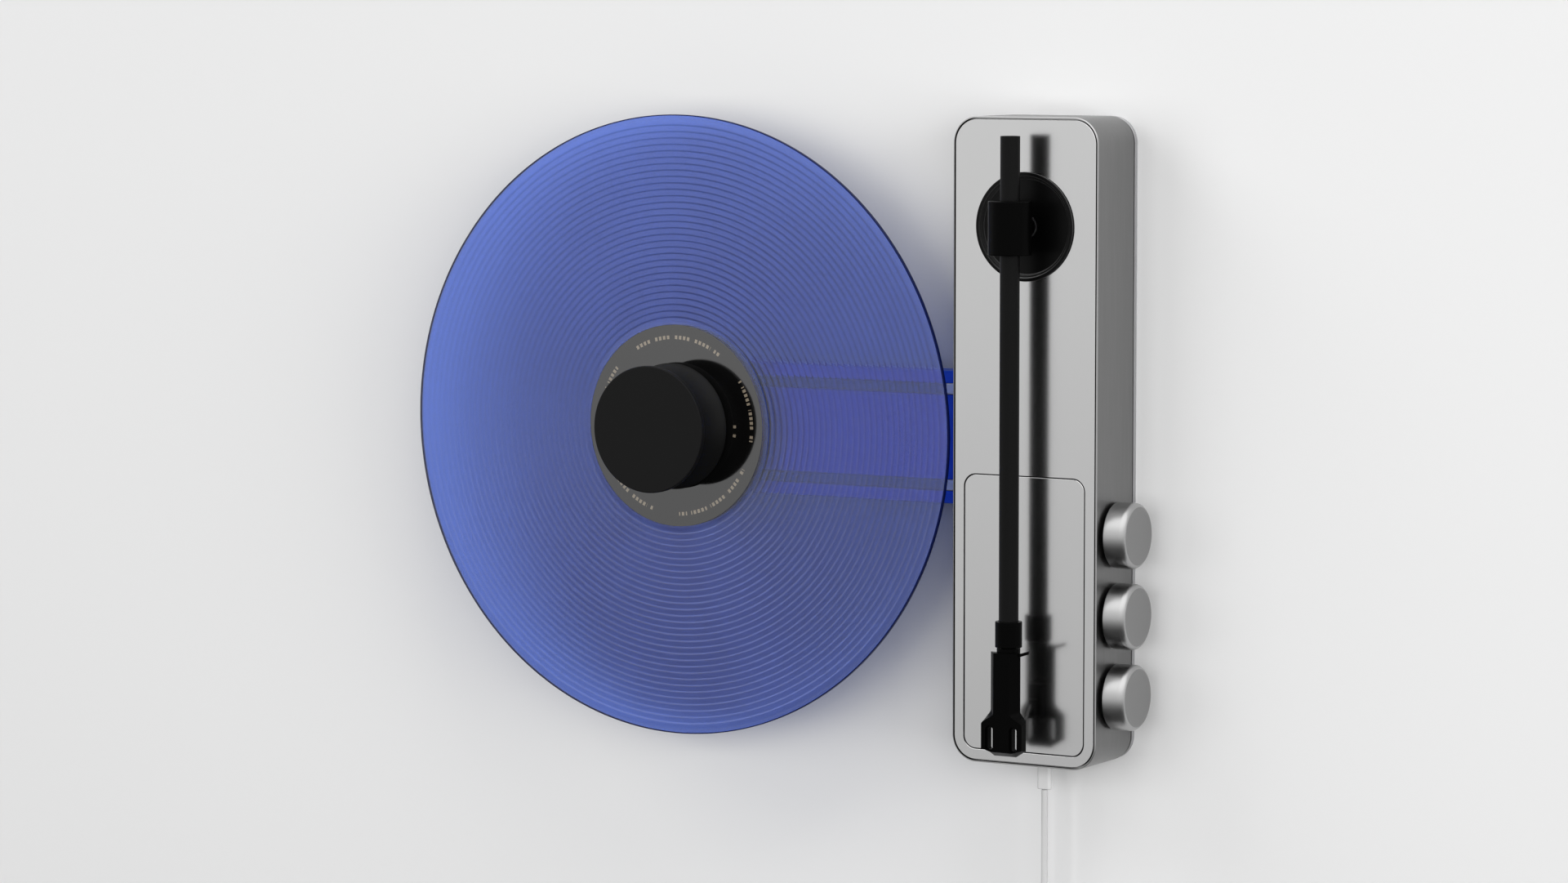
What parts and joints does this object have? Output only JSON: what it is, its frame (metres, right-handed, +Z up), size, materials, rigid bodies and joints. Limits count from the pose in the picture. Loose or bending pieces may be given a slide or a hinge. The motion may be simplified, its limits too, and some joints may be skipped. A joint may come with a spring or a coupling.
{
  "type": "wall-mounted turntable",
  "caption": "Wall-mounted turntable: an upright metal tower with side knobs and a hanging tonearm, and a flat arm that holds an upright platter with a record and its clamp.",
  "frame": {"origin": "centre of the back face of the wall plate, where the turntable rests on the wall", "axes": "+Z up, +X to the right as seen from the front, +Y into the wall; the front faces -Y"},
  "size_m": [0.3921, 0.0682, 0.4548],
  "materials": {
    "satin_aluminium": "fine brushed satin",
    "mirror_aluminium": "satin mirror",
    "blasted_aluminium": "fine bead-blasted",
    "steel": "satin",
    "blue_paint": "satin blue paint",
    "blue_vinyl": "grooved, slightly see-through vinyl",
    "printed_label": "coated paper",
    "black_anodised": "matte black anodising",
    "gloss_black": "glossy black anodising",
    "black_plastic": "moulded",
    "black_rubber": "moulded",
    "brass": "turned",
    "copper_wire": "enamelled copper wire",
    "core_iron": "plain",
    "circuit_board": "lacquered laminate",
    "pale_plastic": "moulded"
  },
  "bodies": {
    "tower": {"tower_shell": "satin_aluminium", "upper_rail": "satin_aluminium", "lower_rail": "satin_aluminium", "arm_root_block": "satin_aluminium", "face_plate": "mirror_aluminium", "service_hatch": "mirror_aluminium", "wall_plate": "steel", "upper_back_screw": "steel", "lower_back_screw": "steel", "front_bearing": "steel", "rear_bearing": "steel", "flange_ring_nut": "steel", "arm_bearing": "steel", "arm_beam": "blue_paint", "hub_housing": "black_anodised", "hub_cover": "black_anodised", "arm_flange": "gloss_black", "hatch_frame": "black_plastic", "power_socket": "black_plastic", "upper_control": "black_plastic", "middle_control": "black_plastic", "lower_control": "black_plastic", "motor_lead": "black_plastic", "cord_tie": "black_rubber", "stator_coils": "copper_wire", "stator_core": "core_iron", "main_board": "circuit_board", "power_plug": "pale_plastic", "cord_run": "pale_plastic", "cord_coil": "pale_plastic", "far_plug": "pale_plastic"},
    "platter_body": {"spindle": "steel", "shaft_clip": "steel", "rotor_cup": "steel", "rotor_magnets": "core_iron", "platter": "black_anodised", "platter_mat": "black_rubber", "record": "blue_vinyl", "front_label": "printed_label", "back_label": "printed_label"},
    "record_clamp": {"clamp_body": "black_anodised", "clamp_bush": "brass", "clamp_pad": "black_rubber"},
    "tonearm_swivel": {"arm_post": "black_anodised", "post_nut": "brass", "tilt_pin": "steel"},
    "tonearm": {"arm_tube": "black_anodised", "arm_sleeve": "black_anodised", "counterweight_slug": "brass", "headshell": "black_anodised", "finger_lift": "black_anodised", "cartridge_body": "black_plastic", "stylus_arm": "steel"},
    "headshell_collar": {"locking_collar": "black_anodised"},
    "upper_knob_body": {"upper_knob": "blasted_aluminium", "upper_knob_shaft": "steel"},
    "middle_knob_body": {"middle_knob": "blasted_aluminium", "middle_knob_shaft": "steel"},
    "lower_knob_body": {"lower_knob": "blasted_aluminium", "lower_knob_shaft": "steel"}
  },
  "joints": [
    {"name": "platter_spin", "type": "hinge", "parent": "tower", "child": "platter_body", "pos_m": [-0.1905, -0.0411, 0], "axis": [0, 1, 0], "continuous": true},
    {"name": "clamp_pull", "type": "slide", "parent": "platter_body", "child": "record_clamp", "axis": [0, -1, 0], "range_m": [0, 0.04]},
    {"name": "tonearm_swing", "type": "hinge", "parent": "tower", "child": "tonearm_swivel", "pos_m": [0, -0.0411, 0.101], "axis": [0, 1, 0], "range_deg": [0, 50]},
    {"name": "tonearm_lift", "type": "hinge", "parent": "tonearm_swivel", "child": "tonearm", "pos_m": [0, -0.0484, 0.101], "axis": [-1, 0, 0], "range_deg": [0, 6]},
    {"name": "collar_turn", "type": "hinge", "parent": "tonearm", "child": "headshell_collar", "pos_m": [0, -0.056, -0.082], "axis": [0, 0, 1], "range_deg": [0, 60]},
    {"name": "upper_knob_turn", "type": "hinge", "parent": "tower", "child": "upper_knob_body", "pos_m": [0.038, -0.0226, -0.0426], "axis": [1, 0, 0], "range_deg": [-150, 150]},
    {"name": "middle_knob_turn", "type": "hinge", "parent": "tower", "child": "middle_knob_body", "pos_m": [0.038, -0.0226, -0.0806], "axis": [1, 0, 0], "range_deg": [-150, 150]},
    {"name": "lower_knob_turn", "type": "hinge", "parent": "tower", "child": "lower_knob_body", "pos_m": [0.038, -0.0226, -0.1186], "axis": [1, 0, 0], "range_deg": [-150, 150]}
  ]
}
